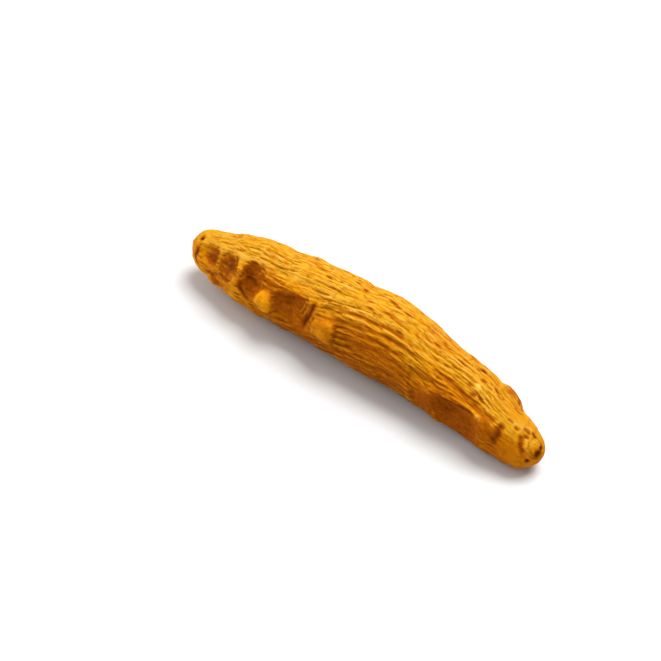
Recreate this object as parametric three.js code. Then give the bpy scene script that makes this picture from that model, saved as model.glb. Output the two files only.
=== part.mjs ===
// A fresh turmeric finger: one whole rhizome, lying on its side on a flat surface.
// Millimetres, +Z up, X along the length: the old end, where it grew from its parent, is at -X
// and the growing tip at +X. The origin is the middle of its footprint, on the surface.
//
// The skin is a tube of rings round a bent axis. A point of it is named by two measures:
//   along  millimetres from the old end, measured on the length
//   turn   degrees round the axis, 0 on top, 90 on the near side (-Y), 180 underneath
// Each form on the skin is a formula of those two, and raises or sinks it square to the axis.
import * as THREE from "three";
import { ImprovedNoise } from "three/addons/math/ImprovedNoise.js";

const LENGTH = 116;
const OLD_END_ROUNDING = 5.4;
const TIP_ROUNDING = 5.8;
const REST_FLAT = 0.45; // how deep the underside is pressed flat where it rests
const RING_COUNT = 90;
const RING_SIDES = 64;

// The body without its skin forms: share of the length, half thickness,
// how far the axis bends to the far side, and how far the underside stands off the surface.
const BODY = [
  [0.0, 4.9, 0.4, 4.2],
  [0.05, 6.0, 0.3, 2.8],
  [0.09, 7.0, 0.3, 1.9],
  [0.12, 7.8, 0.3, 1.3],
  [0.18, 9.15, 0.6, 0.6],
  [0.28, 10.0, 1.0, 0.0],
  [0.4, 10.3, 1.7, 0.3],
  [0.52, 10.5, 2.1, 0.3],
  [0.62, 10.2, 2.1, 0.3],
  [0.72, 9.1, 1.1, 0.2],
  [0.82, 8.3, 0.5, 0.0],
  [0.9, 6.9, -1.0, 0.1],
  [0.96, 5.4, -1.8, 0.6],
  [1.0, 4.9, -1.8, 1.3],
];

// Leaf scars: at each the root swells a little, ends in a thin raised line and drops off behind it.
// The line leans towards one turn, because the leaf sat askew.
const LEAF_SCARS = [
  { along: 4.0, lean: 3.0, towards: 110, height: 0.3 },
  { along: 17.4, lean: 5.2, towards: 90, height: 0.35 },
  { along: 27.8, lean: 3.0, towards: 200, height: 0.2 },
  { along: 36.6, lean: 2.0, towards: 30, height: 0.35 },
  { along: 51.5, lean: 2.4, towards: 250, height: 0.25 },
  { along: 64.5, lean: 2.2, towards: 200, height: 0.2 },
  { along: 77.5, lean: 2.6, towards: 150, height: 0.2 },
  { along: 88.5, lean: 2.4, towards: 230, height: 0.3 },
  { along: 98.4, lean: 1.8, towards: 250, height: 0.25 },
  { along: 107.8, lean: 1.2, towards: 20, height: 0.3 },
  { along: 111.4, lean: 0.9, towards: 60, height: 0.3 },
];
const SCAR_LINE_WIDTH = 1.3;

// Hollows where a side finger or a root came away: half length along, half width round the girth,
// and how square the outline is, from 2, an ellipse, up.
const HOLLOWS = [
  { along: 10.3, turn: 52, length: 4.0, width: 3.0, depth: 0.9, square: 2.2 },
  { along: 18.3, turn: 59, length: 3.2, width: 3.8, depth: 0.9, square: 3.4 },
  { along: 14.6, turn: 95, length: 3.4, width: 2.2, depth: 0.5, square: 2.2 },
  { along: 27.2, turn: 59, length: 3.6, width: 4.8, depth: 1.3, square: 2.4 },
  { along: 41.6, turn: 73, length: 6.2, width: 5.0, depth: 1.3, square: 2.8 },
  { along: 93.6, turn: 93, length: 7.4, width: 5.0, depth: 1.3, square: 4.0 },
  { along: 84, turn: 97, length: 4.0, width: 3.2, depth: 0.5, square: 2.4 },
  { along: 24.5, turn: 250, length: 4.0, width: 3.6, depth: 1.0, square: 2.4 },
  { along: 56, turn: 256, length: 4.8, width: 3.4, depth: 1.1, square: 2.8 },
  { along: 84, turn: 248, length: 4.2, width: 3.2, depth: 1.0, square: 2.4 },
];
const HOLLOW_WALL = 0.42; // share of a hollow's half width that its sloping wall takes

// Buds and the stubs of side fingers: round bulges in a shallow moat.
const BULGES = [
  { along: 33.0, turn: 79, radius: 4.4, height: 1.7 },
  { along: 52.8, turn: 78, radius: 5.0, height: 1.6 },
  { along: 102.6, turn: 59, radius: 5.0, height: 1.0 },
  { along: 101.6, turn: 300, radius: 4.6, height: 1.6 },
  { along: 94.0, turn: 304, radius: 8.0, height: 0.4 },
  { along: 17.2, turn: 322, radius: 7.0, height: 0.25 },
  { along: 37.5, turn: 318, radius: 6.0, height: 0.3 },
  { along: 63, turn: 304, radius: 9.0, height: 0.6 },
  { along: 41.5, turn: 252, radius: 4.2, height: 1.5 },
  { along: 71, turn: 258, radius: 4.4, height: 1.6 },
  { along: 94, turn: 262, radius: 3.4, height: 1.0 },
  { along: 68, turn: 104, radius: 4.0, height: 0.6 },
];

// Welts: long raised folds of skin, from one named point to another.
const WELTS = [
  { from: [82, 70], to: [100, 54], width: 1.1, height: 0.55 },
  { from: [55, 44], to: [81, 30], width: 1.2, height: 0.25 },
  { from: [54, 62], to: [76, 56], width: 1.2, height: 0.3 },
  { from: [6, 29], to: [33, 33], width: 1.1, height: 0.3 },
  { from: [36, 45], to: [51, 52], width: 1.1, height: 0.35 },
  { from: [28, 285], to: [50, 290], width: 1.3, height: 0.4 },
  { from: [61, 232], to: [89, 240], width: 1.3, height: 0.4 },
];

// Lengthwise wrinkles of the dried skin: how far apart, how long, and how deep at most on the side
// that dried hardest and on the side opposite it.
const WRINKLE_SPACING = 3.2;
const WRINKLE_LENGTH = 28;
const WRINKLE_DEPTH = 0.45;
const WRINKLE_DEPTH_OPPOSITE = 0.25;
const WRINKLES_DEEPEST_TURN = 85;
const WRINKLES_FADE_FROM_ENDS = 13;
const LUMP_SIZE = 15;
const LUMP_HEIGHT = 0.55;

const noise = new ImprovedNoise();
const radians = THREE.MathUtils.degToRad;
const { smoothstep, euclideanModulo } = THREE.MathUtils;
const bell = (x) => Math.exp(-x * x);

// Smooth noise on the skin, with features so many millimetres long and wide.
function skinNoise(along, turn, half, long, wide, layer) {
  const a = radians(turn);
  return noise.noise(
    along / long + 17.3 * layer,
    (half * Math.cos(a)) / wide + 5.1 * layer,
    (half * Math.sin(a)) / wide + 9.7,
  );
}

// The distance round the girth from one turn to another, the shorter way, in millimetres.
function girthBetween(turn, from, half) {
  return radians(euclideanModulo(turn - from + 180, 360) - 180) * half;
}

function leafScarHeight(along, turn, half) {
  const wander = skinNoise(along, turn, half, 30, 5, 3) * 1.4;
  let height = 0;
  for (const scar of LEAF_SCARS) {
    const line = scar.along + scar.lean * Math.cos(radians(turn - scar.towards));
    const past = (along - line - wander) / SCAR_LINE_WIDTH;
    const swelling = past < 0 ? bell(past / 4) : bell(past);
    height += scar.height * (0.5 * swelling + 0.5 * bell(past) - 0.4 * bell(past - 1.7));
  }
  return height;
}

function hollowHeight(along, turn, half) {
  let height = 0;
  for (const hollow of HOLLOWS) {
    const lengthwise = Math.abs(along - hollow.along) / hollow.length;
    const girthwise = Math.abs(girthBetween(turn, hollow.turn, half)) / hollow.width;
    const n = hollow.square;
    const out = (lengthwise ** n + girthwise ** n) ** (1 / n);
    const rim = 0.28 * hollow.depth * bell((out - 1.1) / 0.2);
    height += rim - hollow.depth * smoothstep(1 - out, 0, HOLLOW_WALL);
  }
  return height;
}

function bulgeHeight(along, turn, half) {
  let height = 0;
  for (const bulge of BULGES) {
    const lengthwise = along - bulge.along;
    const girthwise = girthBetween(turn, bulge.turn, half);
    const out = Math.hypot(lengthwise, girthwise) / bulge.radius;
    height += bulge.height * (1 - smoothstep(out, 0.1, 1.05));
    height -= 0.22 * bulge.height * bell((out - 1.05) / 0.17);
  }
  return height;
}

// From 0 to 1, how far a point is on a bud or a stub, where the skin is tight and has no wrinkles.
function tightness(along, turn, half) {
  const onBulges = BULGES.map((bulge) => {
    const girthwise = girthBetween(turn, bulge.turn, half);
    const out = Math.hypot(along - bulge.along, girthwise) / bulge.radius;
    return bulge.height < 1 ? 0 : 1 - smoothstep(out, 0.7, 1.2);
  });
  return Math.max(...onBulges);
}

function weltHeight(along, turn, half) {
  let height = 0;
  for (const { from, to, width, height: top } of WELTS) {
    const reach = Math.min(1, Math.max(0, (along - from[0]) / (to[0] - from[0])));
    const turnThere = from[1] + (to[1] - from[1]) * reach;
    const past = along - (from[0] + (to[0] - from[0]) * reach);
    const aside = girthBetween(turn, turnThere, half);
    const taper = Math.sin(Math.PI * (0.15 + 0.7 * reach));
    height += top * taper * bell(Math.hypot(past / 2, aside) / width);
  }
  return height;
}

// Ridged noise, stretched lengthwise: sharp furrows between rounded ribs.
function wrinkleHeight(along, turn, half) {
  const sway = 14 * skinNoise(along, turn, half, 34, 9, 5);
  const furrow = Math.abs(
    skinNoise(along, turn + sway, half, WRINKLE_LENGTH, WRINKLE_SPACING, 1),
  );
  const fromEnd = Math.min(along, LENGTH - along);
  const presence =
    smoothstep(fromEnd, 4, WRINKLES_FADE_FROM_ENDS) * (1 - tightness(along, turn, half));
  const dried = 0.5 + 0.5 * Math.cos(radians(turn - WRINKLES_DEEPEST_TURN));
  const depth = THREE.MathUtils.lerp(WRINKLE_DEPTH_OPPOSITE, WRINKLE_DEPTH, dried);
  return depth * presence * (Math.min(1, furrow * 3.4) - 0.75);
}

function skinHeight(along, turn, half) {
  return (
    LUMP_HEIGHT * skinNoise(along, turn, half, LUMP_SIZE, LUMP_SIZE, 2) +
    leafScarHeight(along, turn, half) +
    hollowHeight(along, turn, half) +
    bulgeHeight(along, turn, half) +
    weltHeight(along, turn, half) +
    wrinkleHeight(along, turn, half)
  );
}

const bodyCurve = new THREE.CubicInterpolant(
  BODY.map((row) => row[0]),
  BODY.flatMap((row) => row.slice(1)),
  3,
);

// Half thickness, bend and stand-off at a place along the root, and how far its ends are closed.
function bodyAt(along) {
  const [half, bend, standOff] = bodyCurve.evaluate(along / LENGTH);
  const intoOldEnd = 1 - Math.min(1, along / OLD_END_ROUNDING);
  const intoTip = 1 - Math.min(1, (LENGTH - along) / TIP_ROUNDING);
  const closing = Math.sqrt((1 - intoOldEnd ** 2) * (1 - intoTip ** 2));
  return { half, bend, standOff, closing };
}

// A point of the skin, in the part's frame. What would sink below the surface is pressed flat.
function skinPoint(along, turn) {
  const { half, bend, standOff, closing } = bodyAt(along);
  const radius = (half + skinHeight(along, turn, half)) * closing;
  const axisHeight = half + standOff - REST_FLAT;
  return new THREE.Vector3(
    along - LENGTH / 2,
    bend - radius * Math.sin(radians(turn)),
    Math.max(0, axisHeight + radius * Math.cos(radians(turn))),
  );
}

// Places of the rings, evenly spaced on the outline, so that they crowd at the rounded ends.
function ringPlaces() {
  const steps = 4000;
  const travelled = [0];
  let lastRadius = 0;
  for (let i = 1; i <= steps; i++) {
    const { half, closing } = bodyAt((LENGTH * i) / steps);
    const step = Math.hypot(LENGTH / steps, half * closing - lastRadius);
    travelled.push(travelled[i - 1] + step);
    lastRadius = half * closing;
  }
  const places = [];
  for (let ring = 1, i = 0; ring < RING_COUNT; ring++) {
    while (travelled[i] < (travelled[steps] * ring) / RING_COUNT) i++;
    places.push((LENGTH * i) / steps);
  }
  return places;
}

// The rings joined by quads, each cut in two, and closed by a fan at either end.
function rootGeometry() {
  const places = ringPlaces();
  const points = [skinPoint(0, 0)];
  for (const along of places)
    for (let side = 0; side < RING_SIDES; side++)
      points.push(skinPoint(along, (360 * side) / RING_SIDES));
  points.push(skinPoint(LENGTH, 0));

  const faces = [];
  const at = (ring, side) => 1 + ring * RING_SIDES + (side % RING_SIDES);
  const lastRing = places.length - 1;
  for (let side = 0; side < RING_SIDES; side++) {
    faces.push(0, at(0, side + 1), at(0, side));
    for (let ring = 0; ring < lastRing; ring++) {
      const [a, b] = [at(ring, side), at(ring, side + 1)];
      const [c, d] = [at(ring + 1, side), at(ring + 1, side + 1)];
      faces.push(a, b, c, b, d, c);
    }
    faces.push(points.length - 1, at(lastRing, side), at(lastRing, side + 1));
  }
  const geometry = new THREE.BufferGeometry().setFromPoints(points);
  geometry.setIndex(faces);
  geometry.computeVertexNormals();
  return geometry;
}

function turmericRoot() {
  const geometry = rootGeometry();
  geometry.computeBoundingBox();
  const middle = geometry.boundingBox.getCenter(new THREE.Vector3());
  geometry.translate(-middle.x, -middle.y, 0);
  const skin = new THREE.MeshStandardMaterial({
    color: 0xd08a1e,
    roughness: 0.7,
    metalness: 0,
  });
  const root = new THREE.Mesh(geometry, skin);
  root.name = "turmeric_root";
  return root;
}

const part = new THREE.Group();
part.add(turmericRoot());

export default part;
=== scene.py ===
import bpy
import itertools
import math
import numpy as np
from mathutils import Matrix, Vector


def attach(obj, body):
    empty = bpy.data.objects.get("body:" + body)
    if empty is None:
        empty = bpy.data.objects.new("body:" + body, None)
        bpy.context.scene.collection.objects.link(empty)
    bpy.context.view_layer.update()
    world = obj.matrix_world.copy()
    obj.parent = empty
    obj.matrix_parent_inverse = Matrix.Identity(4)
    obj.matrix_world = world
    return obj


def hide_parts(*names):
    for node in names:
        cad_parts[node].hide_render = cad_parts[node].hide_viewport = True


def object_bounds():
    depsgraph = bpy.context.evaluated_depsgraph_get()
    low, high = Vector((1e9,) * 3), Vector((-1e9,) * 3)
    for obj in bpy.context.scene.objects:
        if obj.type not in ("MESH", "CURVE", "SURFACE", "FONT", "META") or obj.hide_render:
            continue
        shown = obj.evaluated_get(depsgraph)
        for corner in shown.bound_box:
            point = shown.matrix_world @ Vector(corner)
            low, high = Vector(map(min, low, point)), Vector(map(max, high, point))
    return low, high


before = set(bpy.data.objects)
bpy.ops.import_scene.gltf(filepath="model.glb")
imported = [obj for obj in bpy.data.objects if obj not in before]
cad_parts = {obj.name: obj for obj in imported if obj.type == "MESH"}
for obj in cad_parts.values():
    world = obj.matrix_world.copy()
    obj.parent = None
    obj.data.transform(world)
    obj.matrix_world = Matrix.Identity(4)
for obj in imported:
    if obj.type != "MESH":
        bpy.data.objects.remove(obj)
cad_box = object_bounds()
bpy.ops.object.select_all(action="DESELECT")

# The root's skin.
# A whole turmeric finger, grown in one piece. Its corky skin has dried onto the flesh, so it is
# drawn into lengthwise wrinkles, and only the buds are smooth. Sizes here are in millimetres.
MM = 0.001
MERGE_DISTANCE = 0.02 * MM
SUBDIVISIONS = 2

skin = bpy.data.objects.new(
    "turmeric_skin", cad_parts["turmeric_root"].data.copy()
)
bpy.context.scene.collection.objects.link(skin)
bpy.context.view_layer.objects.active = skin
skin.select_set(True)
bpy.ops.object.mode_set(mode="EDIT")
bpy.ops.mesh.select_all(action="SELECT")
bpy.ops.mesh.remove_doubles(threshold=MERGE_DISTANCE)
bpy.ops.mesh.tris_convert_to_quads(face_threshold=math.pi, shape_threshold=math.pi)
bpy.ops.object.mode_set(mode="OBJECT")
finer = skin.modifiers.new("finer", "SUBSURF")
finer.levels = finer.render_levels = SUBDIVISIONS
bpy.ops.object.modifier_apply(modifier=finer.name)
bpy.ops.object.shade_smooth()

mesh = skin.data
point_count = len(mesh.vertices)
points = np.empty(point_count * 3)
mesh.vertices.foreach_get("co", points)
points = points.reshape(-1, 3) / MM
outward = np.empty(point_count * 3)
mesh.vertices.foreach_get("normal", outward)
outward = outward.reshape(-1, 3)
edges = np.empty(len(mesh.edges) * 2, int)
mesh.edges.foreach_get("vertices", edges)
edges = edges.reshape(-1, 2)

# Where each point is on the root: along, from the old end; turn, in degrees round the axis, with 0
# on top and 90 on the near side; and reach, from the axis. The axis runs through the middle of the
# skin at stations along the root.
low_corner = np.array(cad_box[0]) / MM
high_corner = np.array(cad_box[1]) / MM
length = high_corner[0] - low_corner[0]
along = points[:, 0] - low_corner[0]
SPACING = 1.0
STATION_REACH = 1.5 * SPACING  # a station's mean takes in what lies this near
AVERAGED = 7  # stations in the running mean
CLOSING_END = 7.0  # the ends round off within this length
stations = np.arange(SPACING, length - SPACING, SPACING)


def local_mean(values, wanted=along):
    """The mean of the values at each place along the root, smoothed."""
    means = [values[abs(along - place) < STATION_REACH].mean() for place in stations]
    padded = np.pad(means, AVERAGED // 2, mode="reflect", reflect_type="odd")
    running = np.convolve(padded, np.ones(AVERAGED) / AVERAGED, "valid")
    return np.interp(wanted, stations, running)


across = points[:, 1] - local_mean(points[:, 1])
above = points[:, 2] - local_mean(points[:, 2])
reach = np.hypot(across, above)
half = local_mean(reach, np.clip(along, CLOSING_END, length - CLOSING_END))
turn = np.degrees(np.arctan2(-across, above))

# The place on the skin for noise and streaks, as if the root were straight and evenly thick.
EVEN_HALF = 10.0
skin_place = np.stack(
    [along, EVEN_HALF * across / half, EVEN_HALF * above / half], axis=1
)

# Noise on a grid of cells, with a slope for each of their corners in a seeded order.
SEED = 7
CELLS = 256
LAYER_SHIFT = (31.7, 11.3, 7.9)
NOISE_GAIN = 1.6
seeded = np.random.default_rng(SEED)
noise_order = seeded.permutation(CELLS)
noise_slopes = seeded.normal(size=(CELLS, 3))
noise_slopes /= np.linalg.norm(noise_slopes, axis=1)[:, None]


def smooth_noise(long, wide, layer, place=skin_place):
    """Noise from about -1 to 1, its features so many millimetres long and wide on the skin.

    Each layer, a whole number or not, is a noise of its own.
    """
    at = place / (long, wide, wide) + np.multiply(LAYER_SHIFT, layer)
    cell = np.floor(at).astype(int)
    inside = at - cell
    fade = inside**3 * (inside * (inside * 6 - 15) + 10)  # level at both ends
    total = np.zeros(len(at))
    for corner in itertools.product((0, 1), repeat=3):
        x, y, z = ((cell + corner) % CELLS).T
        column = noise_order[(noise_order[x] + y) % CELLS]
        slope = noise_slopes[noise_order[(column + z) % CELLS]]
        share = np.where(corner, fade, 1 - fade).prod(axis=1)
        total += share * (slope * (inside - corner)).sum(axis=1)
    return total * NOISE_GAIN


def step(value, low, high):
    """From 0 at the low value to 1 at the high one, with soft ends."""
    share = np.clip((value - low) / (high - low), 0, 1)
    return share * share * (3 - 2 * share)


def bell(value):
    """1 at 0, falling off softly on both sides."""
    return np.exp(-value * value)


def girth_from(place_turn):
    """Millimetres round the girth from a turn, the shorter way."""
    return np.radians((turn - place_turn + 180) % 360 - 180) * np.minimum(half, reach)


def softened(values, rounds):
    """Each value moved halfway to the mean of its neighbours, round after round."""
    neighbours = np.bincount(edges.ravel(), minlength=point_count)
    for _ in range(rounds):
        total = np.bincount(edges[:, 0], values[edges[:, 1]], point_count)
        total += np.bincount(edges[:, 1], values[edges[:, 0]], point_count)
        values = (values + total / neighbours) / 2
    return values


# Outlines on a root are never even, so each is drawn on a skin that is pushed about a little.
# A fold or crease takes up only a share of it round the girth.
PUSH = 0.8
FINE_PUSH = 0.08
LINE_PUSH_SHARE = 0.6
pushed_along = along + PUSH * smooth_noise(5, 4, 12)
pushed_along += FINE_PUSH * smooth_noise(1.8, 1.8, 13)
pushed_girth = PUSH * smooth_noise(5, 4, 14) + FINE_PUSH * smooth_noise(1.8, 1.8, 15)

# Buds: smoother than the rest, with a crease round one side that is sunk and painted dark as shade.
# Each has its place, turn and radius, the side that the crease is on, with 0 towards the tip and 90
# down the near side, the crease's strength, how much of the wrinkled skin the bud has lost, and how
# much brighter it is than the skin round it. Its edge and its crease lie at shares of the radius.
BUD_EDGE = (0.5, 1.2)
BUD_UNEVENNESS = 0.35
BUD_CREASE_AT = 1.08
BUD_CREASE_HALF_WIDTH = 0.16
BUD_CREASE_ENDS = (-0.2, 0.7)  # cosines of the angle from the crease's middle
BUDS = [
    (32.8, 79, 3.4, 300, 0.2, 0.8, 1.0),
    (52.0, 77, 3.8, 10, 0.15, 0.8, 0.5),
    (103.0, 56, 2.9, 60, 0.0, 0.8, -0.3),
    (101.8, 300, 4.0, 0, 0.6, 0.6, -0.3),
    (41.5, 252, 3.8, 100, 0.6, 0.6, 0.4),
    (71, 258, 4.0, 200, 0.7, 0.6, 0.4),
    (94, 262, 3.0, 20, 0.8, 0.6, 0.4),
]
bud = np.zeros(point_count)
bright_bud = np.zeros(point_count)
dark_bud = np.zeros(point_count)
bud_crease = np.zeros(point_count)
for place, place_turn, radius, crease_side, strength, bareness, brightness in BUDS:
    lengthwise = pushed_along - place
    girthwise = girth_from(place_turn) + pushed_girth
    out = np.hypot(lengthwise, girthwise) / radius
    out *= 1 + BUD_UNEVENNESS * smooth_noise(2.6, 2.6, place)
    from_side = np.arctan2(girthwise, lengthwise) - math.radians(crease_side)
    covering = 1 - step(out, *BUD_EDGE)
    bud = np.maximum(bud, bareness * covering)
    bright_bud = np.maximum(bright_bud, brightness * covering)
    dark_bud = np.maximum(dark_bud, -brightness * covering)
    around = strength * step(np.cos(from_side), *BUD_CREASE_ENDS)
    around *= bell((out - BUD_CREASE_AT) / BUD_CREASE_HALF_WIDTH)
    bud_crease = np.maximum(bud_crease, around)

# Hollows where side fingers and roots came away: a brown corky floor, darker towards one side with
# painted shade at an off-centre core, in a wall painted pale as highlight. Each has its place,
# turn, half length, half width, how square its outline is, how dark its floor is, with brown and
# painted shade together, how far the core lies from the middle, along and round, and how dark the
# core is.
# The edges, rim and wall are given as shares of the hollow's size.
CORK_EDGE = (0.65, 1.08)
DARK_EDGE = (0.6, 1.2)
CORE_EDGE = (0, 1.2)
RIM_AT, RIM_HALF_WIDTH = 0.98, 0.12
WALL_AT, WALL_HALF_WIDTH = 1.2, 0.14
MOTTLING = 0.7
FINE_MOTTLING = 0.5
HOLLOWS = [
    (10.8, 54, 4.0, 3.2, 2.0, 0.12, 1.2, -0.3, 0.8),
    (18.3, 59, 3.1, 3.8, 2.6, 0.38, 0.6, -1.6, 0.45),
    (14.6, 95, 3.3, 2.1, 2.2, 0.3, 0, 0, 0.1),
    (27.2, 59, 3.8, 4.7, 2.2, 0.4, -1.4, 0.4, 0.75),
    (41.6, 73, 6.3, 5.0, 2.4, 0.22, -4.4, -2.5, 0.55),
    (93.6, 93, 7.6, 5.0, 3.4, 0.42, -6, -3, 0.7),
    (84, 97, 4.0, 3.2, 2.2, 0.2, 0, 0, 0.2),
    (24.5, 250, 4.0, 3.6, 2.4, 0.5, 0.5, 0.5, 0.4),
    (56, 256, 4.8, 3.4, 2.8, 0.5, 1, 0, 0.4),
    (84, 248, 4.2, 3.2, 2.4, 0.5, -1, 0.5, 0.4),
]
hollow = np.zeros(point_count)
hollow_tone = np.zeros(point_count)
hollow_rim = np.zeros(point_count)
hollow_wall = np.zeros(point_count)
for row in HOLLOWS:
    place, place_turn, half_length, half_width, square, tone, *core_place, core = row
    lengthwise = pushed_along - place
    girthwise = girth_from(place_turn) + pushed_girth
    out = abs(lengthwise / half_length) ** square + abs(girthwise / half_width) ** square
    out = out ** (1 / square)
    inside = 1 - step(out, *CORK_EDGE)
    from_core = np.hypot(
        (lengthwise - core_place[0]) / half_length,
        (girthwise - core_place[1]) / half_width,
    )
    darkness = tone + core * (1 - step(from_core, *CORE_EDGE))
    darkness *= 1 - step(out, *DARK_EDGE)
    hollow = np.maximum(hollow, inside)
    hollow_tone = np.maximum(hollow_tone, darkness)
    rim = tone * bell((out - RIM_AT) / RIM_HALF_WIDTH)
    hollow_rim = np.maximum(hollow_rim, rim)
    wall = tone * bell((out - WALL_AT) / WALL_HALF_WIDTH)
    hollow_wall = np.maximum(hollow_wall, wall)
hollow_tone = np.maximum(hollow_tone, dark_bud)
mottling = MOTTLING * smooth_noise(2.6, 1.6, 21)
mottling += FINE_MOTTLING * smooth_noise(0.9, 0.7, 22)
hollow_tone *= 1 + mottling

# Leaf scars: thin lines round the root, each a light lip with a darker thread behind it.
# Each has its place, how far it leans, the turn that it leans towards, and its strength.
LIP_HALF_WIDTH = 0.6
THREAD_HALF_WIDTH = 0.35
THREAD_BEHIND = 0.9
SCAR_WAVE = 0.35
SCAR_WANDER = 1.3
SCAR_GAPS = (-0.6, 0.3)  # of the noise that breaks the line up
LEAF_SCARS = [
    (27.8, 3.0, 200, 0.4),
    (51.5, 2.4, 250, 0.4),
    (64.5, 2.2, 200, 0.3),
    (77.5, 2.6, 150, 0.3),
    (88.5, 2.4, 230, 0.5),
    (98.4, 1.8, 250, 0.4),
    (107.8, 1.2, 20, 0.4),
    (111.4, 0.9, 60, 0.4),
]
scar_lip = np.zeros(point_count)
scar_thread = np.zeros(point_count)
for place, lean, towards, strength in LEAF_SCARS:
    line = place + lean * np.cos(np.radians(turn - towards))
    line += SCAR_WAVE * smooth_noise(30, 3, place)
    line += SCAR_WANDER * smooth_noise(30, 8, place)
    there = strength * step(smooth_noise(40, 5, place + 0.5), *SCAR_GAPS)
    scar_lip += there * bell((along - line) / LIP_HALF_WIDTH)
    scar_thread += there * bell((along - line - THREAD_BEHIND) / THREAD_HALF_WIDTH)

# Folds are lines of raised skin, painted pale as highlight, and creases are lines sunk into it,
# painted dark as shade. Each runs through some places, given as along and turn, and has its half
# width, its height or depth, and how pale or dark it is. The lips of the leaf scars are pale as
# well, and the walls of the hollows are painted pale as highlight; the scars' threads are dark, and
# the buds' creases are painted dark as shade.
LINE_ENDS = (-0.1, 0.2)  # shares of its length over which a line fades in and out
LIP_PALENESS = 0.6
WALL_PALENESS = 0.6
THREAD_STAIN = 0.3
# The buds' creases are darkened as painted shade.
BUD_CREASE_SHADE = 0.6
FOLD_EVEN, FOLD_UNEVEN = 0.85, 0.5
CREASE_EVEN, CREASE_UNEVEN = 0.95, 0.3
FOLDS = [
    ([(5.6, 56), (6.4, 40), (8.6, 27), (13, 25), (19, 22)], 0.9, 0.08, 0.4),
    ([(13.6, 32), (14.0, 45), (15.0, 63), (14.4, 80), (13.6, 98)], 1.2, 0.06, 0.9),
    ([(19.7, 20), (21.8, 35), (22.3, 57), (21.8, 81), (20.6, 98)], 1.3, 0.06, 0.85),
    ([(37.4, -10), (38.1, 5), (38.4, 24), (38.0, 46)], 1.3, 0.05, 0.5),
    ([(36.4, 60), (39.8, 48), (42.2, 39), (45.9, 40), (48.6, 44)], 0.9, 0.12, 0.5),
    ([(88.6, 66), (90.8, 61), (96.2, 53), (100.9, 50)], 0.7, 0.12, 0.5),
    ([(99.8, 51), (101.6, 51)], 0.8, 0.12, 1.9),
    ([(94.8, 8), (95.6, 14), (96.6, 16)], 0.7, 0.12, 1.8),
    ([(105.6, 14), (108.2, 9), (110.6, 3), (112.6, -11)], 0.7, 0.14, 0.8),
    ([(112.6, 8), (112.8, 24), (113.4, 40), (114.0, 60)], 0.7, 0.14, 1.1),
    ([(50.4, 90), (49.2, 78), (50, 66)], 1.0, 0.1, 0.7),
    ([(55, 50), (66, 44), (76, 42)], 0.7, 0.1, 0.4),
    ([(52, 42), (60, 28), (72, 22)], 0.7, 0.1, 0.4),
    ([(6.6, 40), (7.2, 52), (7.2, 66)], 1.0, 0.06, 0.8),
    ([(10.6, 100), (12.4, 106), (14.6, 112)], 1.5, 0.5, 0.45),
    ([(20, 236), (30, 240), (36, 232)], 0.7, 0.2, 0.6),
    ([(60, 276), (74, 268), (86, 272)], 0.7, 0.2, 0.5),
]
CREASES = [
    ([(5.4, 44), (5.6, 59), (5.4, 80), (6.7, 98)], 0.55, 0.3, 0.9),
    ([(12.4, 36), (13.0, 50), (13.2, 66)], 0.6, 0.15, 0.4),
    ([(9.0, 100), (11.4, 92), (14.0, 96)], 0.5, 0.2, 0.6),
    ([(20.2, 30), (20.9, 44), (20.9, 60)], 0.6, 0.25, 0.6),
    ([(15.8, 76), (17.0, 82), (19.7, 81)], 0.6, 0.25, 0.6),
    ([(23.8, 62), (24.5, 78), (25.8, 86), (27.8, 89)], 0.8, 0.35, 0.8),
    ([(24.2, 34), (26.2, 33), (28.6, 37)], 0.75, 0.3, 0.7),
    ([(25.2, 42), (26.2, 39), (27.6, 41)], 0.6, 0.25, 0.5),
    ([(35.8, 70), (37.2, 60), (40.4, 55), (44.0, 51)], 0.8, 0.3, 0.65),
    ([(48.2, 42), (47.7, 52), (46.9, 65), (45.6, 84), (46.0, 96)], 0.7, 0.5, 0.9),
    ([(88.4, 76), (90.4, 68), (94.2, 60), (97.2, 58), (99.2, 57)], 0.7, 0.25, 0.8),
    ([(89.2, 72), (88.6, 86), (88.6, 104)], 1.3, 0.15, 0.45),
    (
        [(84, 35), (92.8, 36), (96.5, 40), (100.2, 43), (103.4, 37), (104.6, 28)],
        0.8,
        0.3,
        0.5,
    ),
    ([(105.6, 26), (106.1, 36), (106.2, 50), (105.6, 66), (105.0, 80)], 0.8, 0.3, 0.75),
    ([(106.0, 16), (107.6, 12)], 0.4, 0.25, 0.6),
    ([(108.2, 15), (109.8, 13)], 0.4, 0.2, 0.6),
    ([(110.2, 4), (111.8, 2)], 0.4, 0.2, 0.65),
    ([(111.2, 15), (112.8, 15)], 0.4, 0.2, 0.65),
    ([(112.2, -4), (113.2, -8)], 0.4, 0.25, 0.8),
    ([(111.4, 16), (111.6, 30), (112.1, 44), (113.0, 62)], 0.75, 0.35, 0.6),
    ([(49, 46), (56.4, 34), (63.6, 31), (70.4, 27), (78, 24)], 0.6, 0.3, 0.45),
    ([(51.6, 54), (58.5, 49), (65.3, 43), (71.7, 38), (80, 36)], 0.65, 0.35, 0.55),
    ([(55.5, 60), (63.2, 55), (71.1, 52), (79, 50)], 0.6, 0.3, 0.45),
    ([(57, 72), (64, 67), (71.1, 64), (80, 62)], 0.6, 0.3, 0.45),
    ([(101.5, 294), (104.1, 304), (105.2, 316)], 0.6, 0.2, 0.7),
    ([(60, 250), (64, 256), (66, 266)], 0.5, 0.4, 0.9),
    ([(30, 262), (31, 276), (34, 290)], 0.5, 0.4, 0.9),
]


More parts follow.
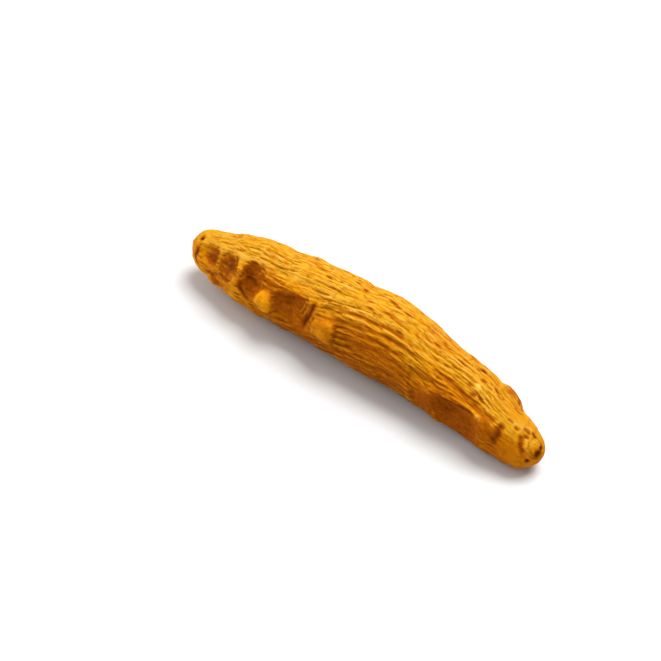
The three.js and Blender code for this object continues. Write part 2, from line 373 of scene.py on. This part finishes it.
def nearness(places, half_width):
    """From 0 to 1, how near each point is to a line through the places, which fades at its ends."""
    near = np.zeros(point_count)
    for index, (start, end) in enumerate(zip(places, places[1:])):
        aside_along = pushed_along - start[0]
        aside_girth = girth_from(start[1]) + LINE_PUSH_SHARE * pushed_girth
        run_along = end[0] - start[0]
        run_girth = np.radians(end[1] - start[1]) * np.minimum(half, reach)
        run_squared = run_along**2 + run_girth**2
        run_share = (aside_along * run_along + aside_girth * run_girth) / run_squared
        run_share = np.clip(run_share, 0, 1)
        off_along = aside_along - run_share * run_along
        off_girth = aside_girth - run_share * run_girth
        off = np.hypot(off_along, off_girth)
        progress = (index + run_share) / (len(places) - 1)
        fading = step(progress, *LINE_ENDS) * step(1 - progress, *LINE_ENDS)
        near = np.maximum(near, bell(off / half_width) * fading)
    return near


fold = np.zeros(point_count)
# The folds' and walls' paleness is painted highlight; the leaf scars' lips are pale skin.
pale = LIP_PALENESS * scar_lip + WALL_PALENESS * hollow_wall
fold_noise = FOLD_EVEN + FOLD_UNEVEN * smooth_noise(3, 3, 31)
for places, half_width, height, paleness in FOLDS:
    near = nearness(places, half_width)
    fold = np.maximum(fold, height * near)
    pale = np.maximum(pale, paleness * near * fold_noise)
crease = np.zeros(point_count)
# The creases' darkness is painted shade; the leaf scars' threads are dark skin.
stain_and_shade = THREAD_STAIN * scar_thread + BUD_CREASE_SHADE * bud_crease
crease_noise = CREASE_EVEN + CREASE_UNEVEN * smooth_noise(1.8, 1.8, 30)
for places, half_width, depth, darkness in CREASES:
    near = nearness(places, half_width) * crease_noise
    crease = np.maximum(crease, depth * near)
    stain_and_shade = np.maximum(stain_and_shade, darkness * near)

# Pits, where a thread of root was, and soft brown patches, which are hardly sunk. Each has its
# place and turn, its radius along and across the root, its depth, and how dark it is.
PIT_EVEN, PIT_UNEVEN = 0.9, 0.5
PITS = [
    (4.6, 24, 0.85, 0.8, 0.5, 1.4),
    (115.5, 38, 0.8, 1.1, 0.5, 1.5),
    (115.3, -6, 0.7, 0.7, 0.4, 1.4),
    (114.2, 88, 0.6, 0.6, 0.3, 1.1),
    (104.9, 86, 0.7, 0.5, 0.2, 0.6),
    (95.6, -5, 1.0, 0.6, 0.2, 0.85),
    (95.8, 29, 1.1, 0.7, 0.25, 0.75),
    (94.0, 21, 0.9, 0.5, 0.2, 0.6),
    (93.5, -22, 1.2, 0.6, 0.25, 0.9),
    (26.4, 66, 1.5, 1.6, 0.4, 0.5),
    (25.6, 36, 1.0, 0.8, 0.25, 0.6),
    (37.0, 58, 1.2, 0.8, 0.3, 0.6),
    (39.4, 57, 0.9, 0.6, 0.3, 0.6),
    (19.8, 21, 0.7, 0.5, 0.2, 0.6),
    (31.4, 36, 3.0, 2.2, 0.0, 0.4),
    (29.4, 45, 2.4, 1.8, 0.0, 0.55),
    (33.6, 48, 2.6, 1.8, 0.0, 0.45),
    (28.6, 32, 1.8, 1.2, 0.05, 0.5),
    (36.6, 60, 2.2, 1.6, 0.05, 0.5),
    (27.4, 40, 1.6, 1.4, 0.05, 0.5),
    (86.6, 84, 2.4, 2.4, 0.0, 0.4),
    (42.8, 58, 0.9, 0.7, 0.05, 0.35),
    (45.4, 84, 1.8, 1.6, 0.05, 0.5),
    (40.6, 84, 1.6, 1.2, 0.05, 0.35),
]
pit = np.zeros(point_count)
pit_darkness = np.zeros(point_count)
for place, place_turn, radius_along, radius_across, depth, darkness in PITS:
    aside = np.hypot(along - place, girth_from(place_turn))
    off = points - points[np.argmin(aside)]
    off_across = np.hypot(off[:, 1], off[:, 2])
    out = np.hypot(off[:, 0] / radius_along, off_across / radius_across)
    pit = np.maximum(pit, depth * bell(out))
    pit_darkness = np.maximum(pit_darkness, darkness * bell(out))
pit_darkness *= PIT_EVEN + PIT_UNEVEN * smooth_noise(1.5, 1.2, 23)

# The button at the growing tip, and rings of thin scales round it and where a root came out. A ring
# is a dark line with a raised lip outside it, which is painted light as highlight where it crosses
# a hollow. Each group has its place, turn, radii and strength.
BUTTON_PLACE, BUTTON_TURN, BUTTON_RADIUS = 114.9, 22, 2.3
BUTTON_EDGE = (0.6, 1.05)  # shares of its radius
RING_HALF_WIDTH = 0.4
RING_LIP_OUTSIDE = 0.6
RING_UNEVENNESS = 0.8
RING_GAPS = (-0.4, 0.3)  # of the noise that breaks the rings up
RINGS = [
    (BUTTON_PLACE, BUTTON_TURN, (2.4, 3.8), 0.35),
    (43.2, 58, (0.9, 2.1, 3.3), 1.0),
    (92, 84, (2.0, 3.4), 0.3),
]


def distance_from(place, place_turn):
    """Millimetres from a place on the skin, a little uneven."""
    aside = np.hypot(along - place, girth_from(place_turn))
    away = np.linalg.norm(points - points[np.argmin(aside)], axis=1)
    return away + RING_UNEVENNESS * smooth_noise(2.6, 2.6, place)


from_button = distance_from(BUTTON_PLACE, BUTTON_TURN)
button = 1 - step(from_button / BUTTON_RADIUS, *BUTTON_EDGE)
ring = np.zeros(point_count)
ring_lip = np.zeros(point_count)
for place, place_turn, radii, strength in RINGS:
    away = distance_from(place, place_turn)
    there = strength * step(smooth_noise(3, 3, place + 0.5), *RING_GAPS)
    for radius in radii:
        off = away - radius
        ring = np.maximum(ring, there * bell(off / RING_HALF_WIDTH))
        lip = there * bell((off - RING_LIP_OUTSIDE) / RING_HALF_WIDTH)
        ring_lip = np.maximum(ring_lip, lip)

# Wrinkles: grooves that run lengthwise, part and join, deepest on the near side. They twist a
# little round the root in its middle. Between them and on top are shorter strokes and fine lines.
# They fade out towards the ends, in the hollows and on the buds, and are weaker on pale skin.
TWIST_FROM, TWIST_TO = 40, 76
TWIST = math.radians(0.6)  # each millimetre
SWAY = 0.9
OLD_END_FADE = (3, 11)
TIP_FADE = (5, 16)
HOLLOW_FADE = 0.85
PALE_FADE = 0.5
PATCH_EDGE = (-0.4, 0.4)
PATCH_SHALLOWEST = 0.55
DEEPEST_TURN = 75
SHALLOWEST = 0.3
DEEP_NARROWNESS = 3.6
FINE_NARROWNESS = 3
STROKE_EDGE = (0.05, 0.55)
FINE_SHALLOWEST = 0.45
twist = TWIST * (np.clip(along, TWIST_FROM, TWIST_TO) - TWIST_FROM)
twisted = np.stack(
    [
        along,
        skin_place[:, 1] * np.cos(twist) - skin_place[:, 2] * np.sin(twist),
        skin_place[:, 1] * np.sin(twist) + skin_place[:, 2] * np.cos(twist),
    ],
    axis=1,
)
twisted[:, 1:] += SWAY * smooth_noise(24, 7, 1)[:, None]
covered = np.clip(1 - HOLLOW_FADE * hollow - bud, 0, 1)
covered *= step(along, *OLD_END_FADE) * step(length - along, *TIP_FADE)
covered *= 1 - PALE_FADE * np.clip(pale, 0, 1)


def between(low, share):
    """From a low value to 1, as the share goes from 0 to 1."""
    return low + (1 - low) * share


def grooves(long, wide, layer, narrowness):
    """Lines along the root that part and join, 1 in their middle, where the noise crosses 0."""
    off = abs(smooth_noise(long, wide, layer, twisted)) * narrowness
    return 1 - np.minimum(1, off)


sideways = 0.5 + 0.5 * np.cos(np.radians(turn - DEEPEST_TURN))
patch = step(smooth_noise(14, 6, 3), *PATCH_EDGE)
deep = grooves(26, 1.45, 4, DEEP_NARROWNESS) * covered
deep *= between(PATCH_SHALLOWEST, patch) * between(SHALLOWEST, sideways)
strokes = step(smooth_noise(7, 1.0, 5, twisted), *STROKE_EDGE) * covered
fine = grooves(6, 0.75, 6, FINE_NARROWNESS) * between(FINE_SHALLOWEST, covered)

# Slits: short dark splits along the root, most of them on top. A few stand out, each with its
# place, turn and half length, and the rest fall where they may.
SLITS = [
    (42.5, -10, 1.6),
    (45.6, -2, 1.0),
    (52.7, -20, 1.0),
    (55.8, -15, 0.9),
    (61.5, 15, 1.3),
    (64.3, -16, 1.8),
    (66.3, -13, 1.2),
    (69.7, -11, 1.7),
    (66.0, 8, 1.8),
    (71.7, 23, 1.4),
    (80.9, -2, 1.2),
    (88.4, -5, 1.5),
    (99.5, -13, 1.0),
    (97.9, 26, 0.9),
]
STANDING_OUT = 0.8
SLIT_HALF_WIDTH = 0.38
SLIT_BUD_FADE = 1.5
RANDOM_SLITS = 150
SLIT_PLACES = (12, 108)
SLIT_TURN, SLIT_TURN_SPREAD = -10, 50
SLIT_HALF_LENGTHS = (0.5, 1.6)
SLIT_TILT_SPREAD = 0.1
SLIT_DEPTHS = (0.15, 0.55)
slits = [(*row, 0.0, STANDING_OUT) for row in SLITS]
for _ in range(RANDOM_SLITS):
    place = seeded.uniform(*SLIT_PLACES)
    place_turn = seeded.normal(SLIT_TURN, SLIT_TURN_SPREAD)
    half_length = seeded.uniform(*SLIT_HALF_LENGTHS)
    tilt = seeded.normal(0, SLIT_TILT_SPREAD)
    depth = seeded.uniform(*SLIT_DEPTHS)
    slits.append((place, place_turn, half_length, tilt, depth))
slit = np.zeros(point_count)
for place, place_turn, half_length, tilt, depth in slits:
    lengthwise = along - place
    aside = girth_from(place_turn) - tilt * lengthwise
    there = bell(aside / SLIT_HALF_WIDTH) * bell(lengthwise / half_length)
    slit = np.maximum(slit, depth * there)
slit *= np.clip(1 - SLIT_BUD_FADE * bud - hollow, 0, 1)

# Hatching on the floor of the hollows, and lumps, coarse and fine, everywhere. The buds and the
# old end's cap have more of them.
HATCH, FINE_HATCH = 0.6, 0.5
LUMPS, BUD_LUMPS = 0.5, 1
FINE_LUMPS, BUD_FINE_LUMPS = 0.25, 0.3
CAP_EDGE = (4, 12)
hatch = HATCH * smooth_noise(1.2, 2.4, 8) + FINE_HATCH * smooth_noise(0.9, 0.8, 16)
hatch *= hollow
lumps = smooth_noise(3.0, 2.4, 9) * (LUMPS + BUD_LUMPS * bud)
lumps += smooth_noise(1.2, 1.0, 10) * (FINE_LUMPS + BUD_FINE_LUMPS * bud)
lumps += smooth_noise(2.4, 2.0, 24) * (1 - step(along, *CAP_EDGE))

# How far each form raises the skin or, below 0, sinks it. All of the skin is sunk a little, which
# leaves room for what is raised.
HEIGHTS = [
    (-0.42, deep),
    (-0.2, strokes),
    (-0.16, fine),
    (-0.25, slit),
    (0.1, scar_lip),
    (-0.16, scar_thread),
    (-0.12, hollow_rim),
    (0.06, hollow_wall),
    (-0.4, bud_crease),
    (1, fold),
    (-1, crease),
    (-1, pit),
    (0.3, button),
    (-0.24, ring),
    (0.12, ring_lip),
    (0.3, hatch),
    (0.16, lumps),
]
SUNK = 0.05
relief = sum(height * form for height, form in HEIGHTS) - SUNK
points += outward * relief[:, None]
points = np.clip(points, low_corner, high_corner)
mesh.vertices.foreach_set("co", (points * MM).ravel())
mesh.update()

# What the finish needs to know of each point. The skin is lightest a little beyond the top, and
# more orange the further down it lies or the more it leans, which is painted shade. That orange is
# brighter at both ends, as painted light, and the underside is painted brown as shade, most of all
# in the root's middle.
LIGHTEST_TURN = -20
LEANING_MORE = 10
DOWN_UNEVENNESS = 16
SIDE_SHADE_TURNS = (40, 92)
UNDERSIDE_TURNS = (80, 130)
ENDS_SHADE = 0.15
MIDDLE_STARTS, MIDDLE_ENDS = (20, 50), (90, 106)
BRIGHT_ENDS, BRIGHT_STARTS = (18, 38), (102, 113)
TIP_BRIGHTNESS = 0.5
CAVITY_ROUNDS = 14
FULL_CAVITY = 0.22
RING_STAIN = 0.5
LIP_BRIGHTNESS = 0.6
STRONGEST = 1.5
# The cavity mark paints highlight on skin that stands above the skin round it, and shade in skin
# that is sunk.
cavity = relief - softened(relief, CAVITY_ROUNDS)
# Dark stains and painted shade together, with the slits, pits and rings dark as well.
stain_and_shade = np.maximum(stain_and_shade, np.maximum(slit, pit_darkness)) + RING_STAIN * ring
# Painted highlight: the rings' lips lighten the hollows' floors.
hollow_tone *= 1 - LIP_BRIGHTNESS * np.clip(ring_lip, 0, 1)
normals = np.empty(point_count * 3)
mesh.vertices.foreach_get("normal", normals)
leaning = np.degrees(np.arccos(np.clip(normals[2::3], -1, 1)))
# Painted shade: the further a point lies from the lightest turn, or the more its face leans, the
# more orange it is.
down = abs((turn - LIGHTEST_TURN + 180) % 360 - 180)
down = np.maximum(down, leaning + LEANING_MORE)
down += DOWN_UNEVENNESS * smooth_noise(14, 8, 17)
side_shade = step(down, *SIDE_SHADE_TURNS)
middle = step(along, *MIDDLE_STARTS) * (1 - step(along, *MIDDLE_ENDS))
# Painted light: the orange down the sides is made brighter at both ends.
painted_light_at_ends = TIP_BRIGHTNESS * step(along, *BRIGHT_STARTS)
painted_light_at_ends = side_shade * np.maximum(painted_light_at_ends, 1 - step(along, *BRIGHT_ENDS))
# Painted shade: the underside turns brown, most of all in the root's middle.
underside_shade = step(down, *UNDERSIDE_TURNS) * between(ENDS_SHADE, middle)
marks = {
    "cavity": np.clip(cavity / FULL_CAVITY, -1, 1),
    "hollow": np.clip(hollow_tone, 0, STRONGEST),
    "bud": np.clip(bright_bud, 0, 1),
    "stain_and_shade": np.clip(stain_and_shade, 0, 1),
    "covered": covered,
    "pale": np.clip(pale, 0, STRONGEST),
    "side_shade": side_shade,
    "painted_light_at_ends": painted_light_at_ends,
    "underside_shade": underside_shade,
}
for name, values in marks.items():
    attribute = mesh.attributes.new(name, "FLOAT", "POINT")
    attribute.data.foreach_set("value", values)
place_attribute = mesh.attributes.new("skin_place", "FLOAT_VECTOR", "POINT")
place_attribute.data.foreach_set("vector", skin_place.ravel())

# The finish: dry golden skin, with orange, tan, brown and light streaks of its own. It is painted
# more orange down its sides as shade, pale on ridges and folds as painted highlight, and darker in
# grooves and creases as painted shade. The hollows are brown, with painted shade at their cores,
# and slits and pits are darkest. It has hardly any shine.
GOLD = (0.55, 0.262, 0.008, 1)
PALE_GOLD = (0.68, 0.37, 0.055, 1)
PALE_AMBER = (0.72, 0.31, 0.006, 1)
CREAM = (0.8, 0.44, 0.06, 1)
TAN = (0.34, 0.095, 0.001, 1)
ORANGE = (0.45, 0.115, 0.001, 1)
PALE_ORANGE = (0.58, 0.205, 0.003, 1)
BROWN = (0.2, 0.042, 0.001, 1)
DARKEST_BROWN = (0.075, 0.012, 0.0005, 1)
RUST = (0.32, 0.068, 0.001, 1)
BUD_GOLD = (0.78, 0.3, 0.004, 1)
BRIGHT_ORANGE = (0.8, 0.305, 0.004, 1)

finish = bpy.data.materials.new("turmeric_skin_finish")
finish.use_nodes = True
tree = finish.node_tree
shader = tree.nodes["Principled BSDF"]
shader.inputs["Roughness"].default_value = 0.7
shader.inputs["Specular IOR Level"].default_value = 0.05
shader.inputs["Specular Tint"].default_value = (1, 0.6, 0.05, 1)


def read_mark(name, socket="Fac"):
    """A mark of the skin, as the finish reads it."""
    node = tree.nodes.new("ShaderNodeAttribute")
    node.attribute_name = name
    return node.outputs[socket]


def streaks(long, wide, detail):
    """Noise that follows the skin, so many millimetres long and wide."""
    stretch = tree.nodes.new("ShaderNodeVectorMath")
    stretch.operation = "DIVIDE"
    stretch.inputs[1].default_value = (long, wide, wide)
    tree.links.new(read_mark("skin_place", "Vector"), stretch.inputs[0])
    node = tree.nodes.new("ShaderNodeTexNoise")
    node.inputs["Scale"].default_value = 1
    node.inputs["Detail"].default_value = detail
    tree.links.new(stretch.outputs[0], node.inputs["Vector"])
    return node.outputs["Fac"]


def ranged(value, low, high, top=1.0):
    """From 0 at the low value to the top one at the high value, with soft ends."""
    node = tree.nodes.new("ShaderNodeMapRange")
    node.interpolation_type = "SMOOTHSTEP"
    node.inputs["From Min"].default_value = low
    node.inputs["From Max"].default_value = high
    node.inputs["To Max"].default_value = top
    tree.links.new(value, node.inputs["Value"])
    return node.outputs["Result"]


def times(first, second):
    """One share within another."""
    node = tree.nodes.new("ShaderNodeMath")
    node.operation = "MULTIPLY"
    tree.links.new(first, node.inputs[0])
    tree.links.new(second, node.inputs[1])
    return node.outputs[0]


def mixed(share, first, second):
    """The first colour with a share of the second one over it."""
    node = tree.nodes.new("ShaderNodeMix")
    node.data_type = "RGBA"
    tree.links.new(share, node.inputs["Factor"])
    for colour, name in ((first, "A_Color"), (second, "B_Color")):
        socket = next(s for s in node.inputs if s.identifier == name)
        if isinstance(colour, tuple):
            socket.default_value = colour
        else:
            tree.links.new(colour, socket)
    return next(s for s in node.outputs if s.identifier == "Result_Color")


# The side shade mark paints shade: the colours below turn more orange and brown down the sides.
side_shade_mark = read_mark("side_shade")
bud_mark = read_mark("bud")
covered_mark = ranged(read_mark("covered"), 0.0, 1.0)
pale_colour = mixed(ranged(side_shade_mark, 0.0, 0.35), PALE_GOLD, PALE_AMBER)
pale_colour = mixed(ranged(side_shade_mark, 0.5, 1.0), pale_colour, PALE_ORANGE)
groove_colour = mixed(side_shade_mark, TAN, BROWN)

# Each layer of colour has the mark or the streaks that show it, the two values between which it
# comes in, its largest share, its colour, and the mark that it stays within, if any.
LAYERS = [
    # Painted light at both ends.
    (read_mark("painted_light_at_ends"), 0.0, 1.0, 0.85, BRIGHT_ORANGE, None),
    # Painted shade on the underside.
    (read_mark("underside_shade"), 0.0, 1.0, 0.7, BROWN, None),
    (streaks(24, 7, 2), 0.47, 0.67, 0.4, ORANGE, None),
    (streaks(5, 3, 3), 0.5, 0.7, 0.35, TAN, None),
    (streaks(6, 0.8, 3), 0.5, 0.7, 0.5, pale_colour, covered_mark),
    (streaks(4, 0.5, 3), 0.5, 0.62, 0.6, groove_colour, covered_mark),
    (streaks(2, 0.4, 2), 0.56, 0.7, 0.7, BROWN, covered_mark),
    # Painted highlight on raised skin and painted shade in sunk skin.
    (read_mark("cavity"), 0.05, 0.7, 0.65, pale_colour, None),
    (read_mark("cavity"), 0.0, -0.8, 0.9, groove_colour, None),
    # Pale folds and hollow walls are painted highlight, strongest in cream.
    (read_mark("pale"), 0.0, 1.0, 0.6, pale_colour, None),
    (read_mark("pale"), 0.6, 1.3, 0.7, CREAM, None),
    (bud_mark, 0.1, 0.9, 0.8, PALE_ORANGE, None),
    (streaks(3, 2.4, 2), 0.42, 0.6, 0.8, BUD_GOLD, bud_mark),
    # The hollows' floors: brown, with painted shade deepest at the core.
    (read_mark("hollow"), 0.0, 0.45, 0.9, RUST, None),
    (read_mark("hollow"), 0.3, 0.9, 1.0, BROWN, None),
    (read_mark("hollow"), 0.8, 1.4, 0.7, DARKEST_BROWN, None),
    # Dark stains, with painted shade in the creases and round the buds.
    (read_mark("stain_and_shade"), 0.0, 0.5, 0.8, RUST, None),
    (read_mark("stain_and_shade"), 0.3, 1.0, 0.95, DARKEST_BROWN, None),
]
# Gold on top, turning orange down the sides as painted shade.
colour = mixed(side_shade_mark, GOLD, ORANGE)
for shown_by, low, high, top, layer_colour, within in LAYERS:
    share = ranged(shown_by, low, high, top)
    if within is not None:
        share = times(share, within)
    colour = mixed(share, colour, layer_colour)
tree.links.new(colour, shader.inputs["Base Color"])

# The finest grain runs lengthwise too.
GRAIN_HEIGHT = 0.3 * MM
bump = tree.nodes.new("ShaderNodeBump")
bump.inputs["Strength"].default_value = 0.9
bump.inputs["Distance"].default_value = GRAIN_HEIGHT
tree.links.new(streaks(1.6, 0.3, 4), bump.inputs["Height"])
tree.links.new(bump.outputs["Normal"], shader.inputs["Normal"])

mesh.materials.clear()
mesh.materials.append(finish)
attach(skin, "root")
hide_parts("turmeric_root")

# The surface under it.
# A plain matt sheet, pale grey and far wider than the root, which rests loose on it. From here on,
# sizes are in metres.
FLOOR_SIZE = 3.0
FLOOR_GREY = (0.62, 0.62, 0.62, 1)
bpy.ops.mesh.primitive_plane_add(size=FLOOR_SIZE, location=(0, 0, 0))
floor = bpy.context.object
floor.name = "floor"
floor_finish = bpy.data.materials.new("floor_finish")
floor_finish.use_nodes = True
floor_shader = floor_finish.node_tree.nodes["Principled BSDF"]
floor_shader.inputs["Base Color"].default_value = FLOOR_GREY
floor_shader.inputs["Roughness"].default_value = 0.8
floor.data.materials.append(floor_finish)

# The studio's light.
# A wide soft lamp above and behind, a weaker one on the left, and white walls all round. Each lamp
# has its place, its width and its power, and faces the root.
LAMPS = {
    "lamp": (Vector((0.14, 0.5, 1.12)), 0.9, 25.0),
    "fill_lamp": (Vector((-0.75, -0.35, 0.45)), 0.8, 4.6),
}
WALLS = 0.5

for name, (place, size, power) in LAMPS.items():
    lamp = bpy.data.lights.new(name, "AREA")
    lamp.energy = power
    lamp.size = size
    lamp_object = bpy.data.objects.new(name, lamp)
    bpy.context.scene.collection.objects.link(lamp_object)
    lamp_object.location = place
    lamp_object.rotation_euler = (-place).to_track_quat("-Z", "Y").to_euler()

studio = bpy.data.worlds.new("studio")
bpy.context.scene.world = studio
studio.use_nodes = True
studio.node_tree.nodes["Background"].inputs["Color"].default_value = (1, 1, 1, 1)
studio.node_tree.nodes["Background"].inputs["Strength"].default_value = WALLS
bpy.context.scene.view_settings.view_transform = "Standard"

# The camera.
# It looks down on the root from its tip's side, so that the root slopes across the picture. It
# aims a little to the left of the root's middle.
AZIMUTH = math.radians(41.03)
ELEVATION = math.radians(42)
DISTANCE = 0.463844
LENS = 100
ROOT_MIDDLE = Vector((0, 0, 0.009))
SHIFT_RIGHT = 0.0086924
SHIFT_UP = -0.0003696

backward = Vector(
    (
        math.sin(AZIMUTH) * math.cos(ELEVATION),
        -math.cos(AZIMUTH) * math.cos(ELEVATION),
        math.sin(ELEVATION),
    )
)
rightward = Vector((math.cos(AZIMUTH), math.sin(AZIMUTH), 0))
upward = backward.cross(rightward)
aim = ROOT_MIDDLE - rightward * SHIFT_RIGHT - upward * SHIFT_UP

camera = bpy.data.cameras.new("camera")
camera.lens = LENS
camera_object = bpy.data.objects.new("camera", camera)
bpy.context.scene.collection.objects.link(camera_object)
camera_object.location = aim + backward * DISTANCE
camera_object.rotation_euler = (-backward).to_track_quat("-Z", "Y").to_euler()
bpy.context.scene.camera = camera_object
